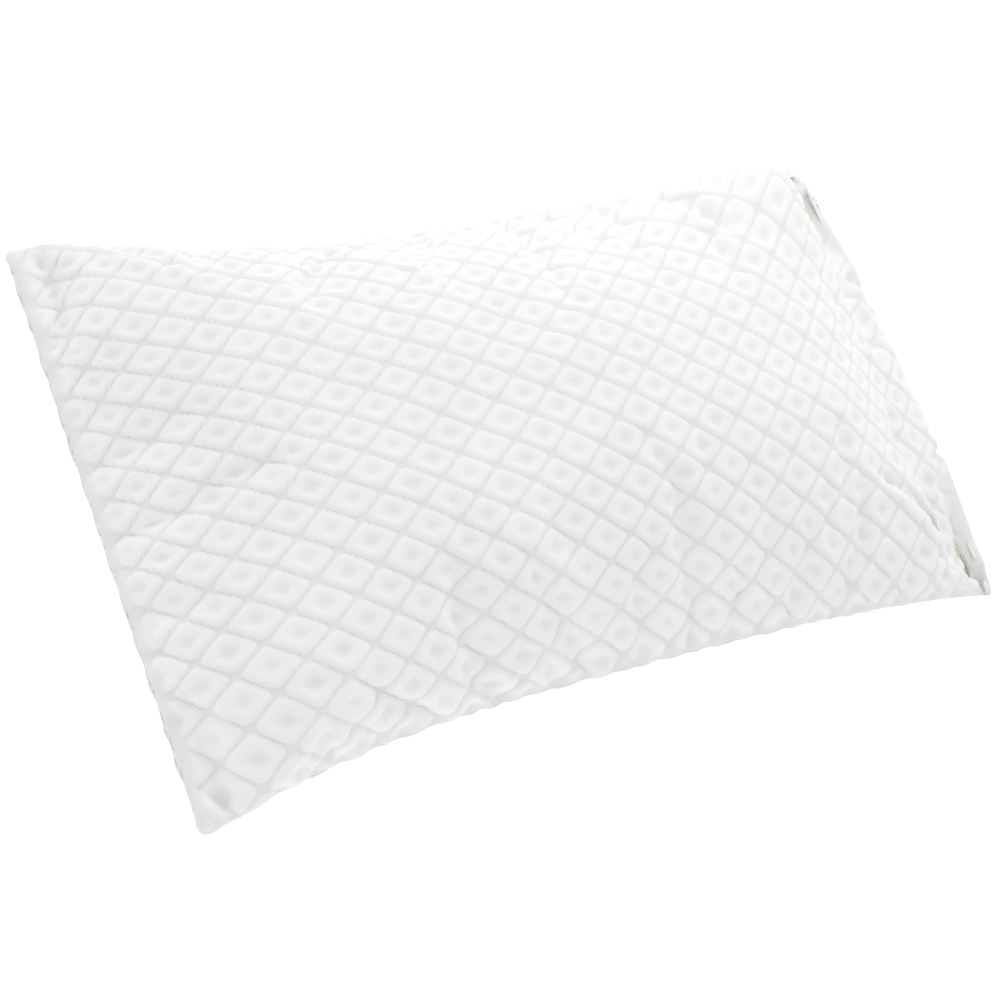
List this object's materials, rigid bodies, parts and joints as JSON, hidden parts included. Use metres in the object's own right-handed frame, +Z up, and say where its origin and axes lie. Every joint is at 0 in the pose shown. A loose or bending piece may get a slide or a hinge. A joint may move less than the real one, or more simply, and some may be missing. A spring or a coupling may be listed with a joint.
{
  "type": "bed pillow",
  "caption": "Rectangular bed pillow: zipped quilted knit cover with pointed corners over a sewn inner case filled with shredded foam, lying on its flattened underside.",
  "frame": {"origin": "under the middle of the pillow, on the surface that it lies on", "axes": "+X along the pillow towards the zipped end, +Y across its width, +Z up"},
  "size_m": [0.86, 0.49, 0.204],
  "materials": {
    "quilted_knit": "soft white jacquard double knit with raised diamond rings",
    "case_cloth": "plain woven polyester",
    "sewing_thread": "spun polyester thread",
    "label_ribbon": "blank woven ribbon",
    "zip_tape": "herringbone woven tape",
    "zip_coil": "nylon monofilament",
    "zip_metal": "white enamelled zinc",
    "shredded_foam": "open-cell foam crumbs"
  },
  "bodies": {
    "pillow": {"cover_top_panel": "quilted_knit", "cover_bottom_panel": "quilted_knit", "cover_overlock_seam": "sewing_thread", "inner_case_top": "case_cloth", "inner_case_bottom": "case_cloth", "inner_case_seam": "sewing_thread", "foam_fill": "shredded_foam", "care_label": "label_ribbon", "zip_tape_upper": "zip_tape", "zip_tape_lower": "zip_tape", "zip_coil_upper": "zip_coil", "zip_coil_lower": "zip_coil", "zip_stitching_upper": "sewing_thread", "zip_stitching_lower": "sewing_thread", "zip_top_stops": "zip_metal", "zip_bottom_stop": "zip_metal"},
    "slider": {"zip_slider": "zip_metal"},
    "pull": {"zip_pull": "zip_metal"}
  },
  "joints": [
    {"name": "zip_open", "type": "slide", "parent": "pillow", "child": "slider", "axis": [0, -1, 0], "range_m": [0, 0.386]},
    {"name": "pull_flip", "type": "hinge", "parent": "slider", "child": "pull", "pos_m": [0.4208, 0.1935, 0.084], "axis": [0, 0, 1], "range_deg": [0, 150]}
  ]
}
